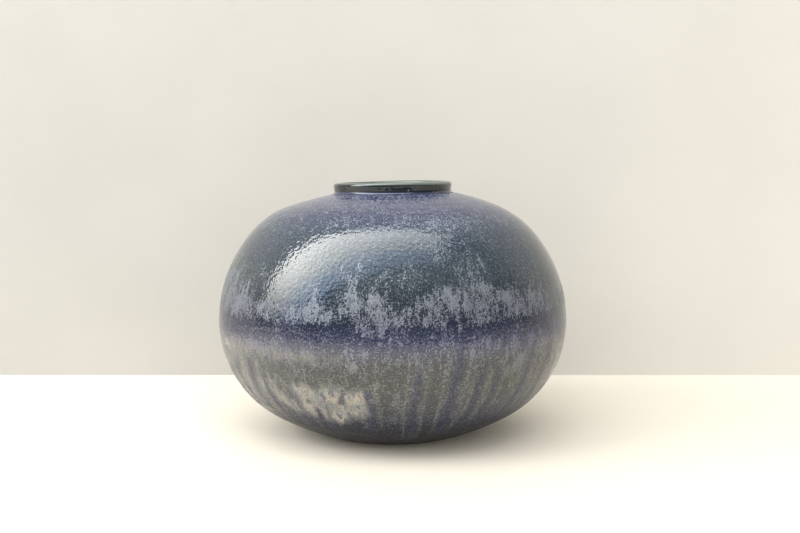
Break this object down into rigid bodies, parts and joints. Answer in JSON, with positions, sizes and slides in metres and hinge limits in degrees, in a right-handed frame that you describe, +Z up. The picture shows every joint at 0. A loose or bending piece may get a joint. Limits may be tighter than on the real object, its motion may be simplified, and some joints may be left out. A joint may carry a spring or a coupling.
{
  "type": "flower vase",
  "caption": "Squat round-bellied glazed stoneware vase with a low collar round a wide mouth, standing on a flat turned foot.",
  "frame": {"origin": "centre of the foot, on the surface that the vase stands on", "axes": "+Z up along the vase's axis of revolution, out through the mouth; the vase is the same all round, and -Y is the side that is shown"},
  "size_m": [0.25, 0.25, 0.1815],
  "materials": {
    "stoneware": "matte",
    "bare_foot": "matte",
    "base_glaze": "satin",
    "blue_glaze": "gloss",
    "collar_glaze": "gloss",
    "liner_glaze": "gloss"
  },
  "bodies": {
    "root": {"stoneware_body": "stoneware", "stoneware_collar": "stoneware", "foot_ring": "bare_foot", "base_glaze": "base_glaze", "blue_glaze": "blue_glaze", "collar_glaze": "collar_glaze", "liner_glaze": "liner_glaze"}
  },
  "joints": []
}
